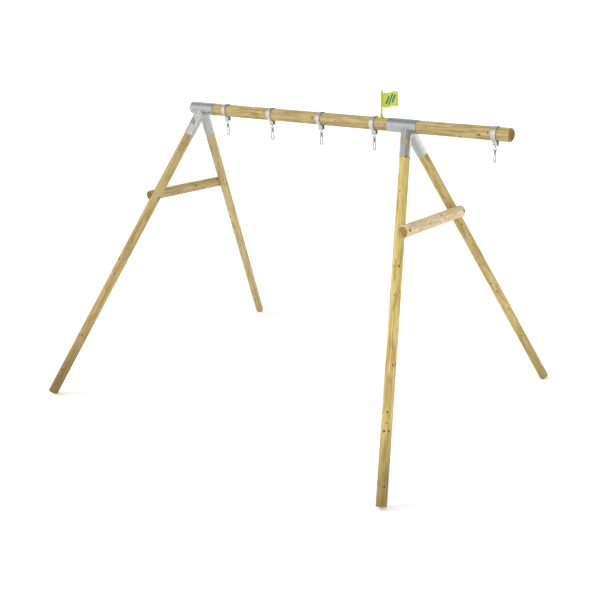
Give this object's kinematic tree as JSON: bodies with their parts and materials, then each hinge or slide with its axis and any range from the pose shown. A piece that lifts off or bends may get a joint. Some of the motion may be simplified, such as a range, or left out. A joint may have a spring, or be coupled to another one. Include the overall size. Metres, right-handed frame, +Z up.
{
  "type": "swing set frame",
  "caption": "Garden swing set frame of round timber: two A-frames, a top beam in galvanised brackets, hangers with snap hooks, and a plastic flag.",
  "frame": {"origin": "on the ground, below the middle of the whole frame", "axes": "+X along the beam towards its free end, +Y towards the back, +Z up"},
  "size_m": [3.7153, 2.8042, 2.6484],
  "materials": {
    "timber": "matte",
    "pale_timber": "matte",
    "galvanised_steel": "satin",
    "zinc_plated_steel": "satin",
    "spring_steel": "satin",
    "green_nylon": "matte",
    "lime_plastic": "satin"
  },
  "bodies": {
    "frame": {"beam": "timber", "bracket_left": "galvanised_steel", "bracket_right": "galvanised_steel", "leg_front_left": "timber", "leg_rear_left": "timber", "leg_front_right": "timber", "leg_rear_right": "timber", "brace_left": "timber", "brace_right": "pale_timber", "leg_tube_screws": "zinc_plated_steel", "beam_tube_screws": "zinc_plated_steel", "brace_bolts": "zinc_plated_steel", "brace_washers": "zinc_plated_steel", "brace_nuts": "zinc_plated_steel", "flag": "lime_plastic", "flag_saddle": "lime_plastic", "flag_screws": "zinc_plated_steel", "strap_1": "zinc_plated_steel", "strap_2": "zinc_plated_steel", "strap_3": "zinc_plated_steel", "strap_4": "zinc_plated_steel", "strap_5": "zinc_plated_steel", "hanger_bolts": "zinc_plated_steel", "hanger_nuts": "zinc_plated_steel", "hanger_bushes": "green_nylon"},
    "hanger_body_1": {"hanger_1": "zinc_plated_steel"},
    "hook_body_1": {"hook_1": "zinc_plated_steel", "hook_insert_1": "green_nylon", "gate_rivet_1": "zinc_plated_steel"},
    "gate_body_1": {"gate_1": "zinc_plated_steel", "gate_spring_1": "spring_steel"},
    "hanger_body_2": {"hanger_2": "zinc_plated_steel"},
    "hook_body_2": {"hook_2": "zinc_plated_steel", "hook_insert_2": "green_nylon", "gate_rivet_2": "zinc_plated_steel"},
    "gate_body_2": {"gate_2": "zinc_plated_steel", "gate_spring_2": "spring_steel"},
    "hanger_body_3": {"hanger_3": "zinc_plated_steel"},
    "hook_body_3": {"hook_3": "zinc_plated_steel", "hook_insert_3": "green_nylon", "gate_rivet_3": "zinc_plated_steel"},
    "gate_body_3": {"gate_3": "zinc_plated_steel", "gate_spring_3": "spring_steel"},
    "hanger_body_4": {"hanger_4": "zinc_plated_steel"},
    "hook_body_4": {"hook_4": "zinc_plated_steel", "hook_insert_4": "green_nylon", "gate_rivet_4": "zinc_plated_steel"},
    "gate_body_4": {"gate_4": "zinc_plated_steel", "gate_spring_4": "spring_steel"},
    "hanger_body_5": {"hanger_5": "zinc_plated_steel"},
    "hook_body_5": {"hook_5": "zinc_plated_steel", "hook_insert_5": "green_nylon", "gate_rivet_5": "zinc_plated_steel"},
    "gate_body_5": {"gate_5": "zinc_plated_steel", "gate_spring_5": "spring_steel"}
  },
  "joints": [
    {"name": "hanger_1_sideways", "type": "hinge", "parent": "frame", "child": "hanger_body_1", "pos_m": [-0.84832, 0, 2.31942], "axis": [0, 1, 0], "range_deg": [-75, 75]},
    {"name": "hook_1_swing", "type": "hinge", "parent": "hanger_body_1", "child": "hook_body_1", "pos_m": [-0.84832, 0, 2.27042], "axis": [1, 0, 0], "range_deg": [-85, 85]},
    {"name": "gate_1_open", "type": "hinge", "parent": "hook_body_1", "child": "gate_body_1", "pos_m": [-0.84832, -0.01123, 2.25793], "axis": [1, 0, 0], "range_deg": [0, 31], "stiffness_Nm_per_rad": 0.02, "springref_deg": -11.46},
    {"name": "hanger_2_sideways", "type": "hinge", "parent": "frame", "child": "hanger_body_2", "pos_m": [-0.34832, 0, 2.31942], "axis": [0, 1, 0], "range_deg": [-75, 75]},
    {"name": "hook_2_swing", "type": "hinge", "parent": "hanger_body_2", "child": "hook_body_2", "pos_m": [-0.34832, 0, 2.27042], "axis": [1, 0, 0], "range_deg": [-85, 85]},
    {"name": "gate_2_open", "type": "hinge", "parent": "hook_body_2", "child": "gate_body_2", "pos_m": [-0.34832, -0.01123, 2.25793], "axis": [1, 0, 0], "range_deg": [0, 31], "stiffness_Nm_per_rad": 0.02, "springref_deg": -11.46},
    {"name": "hanger_3_sideways", "type": "hinge", "parent": "frame", "child": "hanger_body_3", "pos_m": [0.16468, 0, 2.31942], "axis": [0, 1, 0], "range_deg": [-75, 75]},
    {"name": "hook_3_swing", "type": "hinge", "parent": "hanger_body_3", "child": "hook_body_3", "pos_m": [0.16468, 0, 2.27042], "axis": [1, 0, 0], "range_deg": [-85, 85]},
    {"name": "gate_3_open", "type": "hinge", "parent": "hook_body_3", "child": "gate_body_3", "pos_m": [0.16468, -0.01123, 2.25793], "axis": [1, 0, 0], "range_deg": [0, 31], "stiffness_Nm_per_rad": 0.02, "springref_deg": -11.46},
    {"name": "hanger_4_sideways", "type": "hinge", "parent": "frame", "child": "hanger_body_4", "pos_m": [0.68068, 0, 2.31942], "axis": [0, 1, 0], "range_deg": [-75, 75]},
    {"name": "hook_4_swing", "type": "hinge", "parent": "hanger_body_4", "child": "hook_body_4", "pos_m": [0.68068, 0, 2.27042], "axis": [1, 0, 0], "range_deg": [-85, 85]},
    {"name": "gate_4_open", "type": "hinge", "parent": "hook_body_4", "child": "gate_body_4", "pos_m": [0.68068, -0.01123, 2.25793], "axis": [1, 0, 0], "range_deg": [0, 31], "stiffness_Nm_per_rad": 0.02, "springref_deg": -11.46},
    {"name": "hanger_5_sideways", "type": "hinge", "parent": "frame", "child": "hanger_body_5", "pos_m": [1.72568, 0, 2.31942], "axis": [0, 1, 0], "range_deg": [-75, 75]},
    {"name": "hook_5_swing", "type": "hinge", "parent": "hanger_body_5", "child": "hook_body_5", "pos_m": [1.72568, 0, 2.27042], "axis": [1, 0, 0], "range_deg": [-85, 85]},
    {"name": "gate_5_open", "type": "hinge", "parent": "hook_body_5", "child": "gate_body_5", "pos_m": [1.72568, -0.01123, 2.25793], "axis": [1, 0, 0], "range_deg": [0, 31], "stiffness_Nm_per_rad": 0.02, "springref_deg": -11.46}
  ]
}
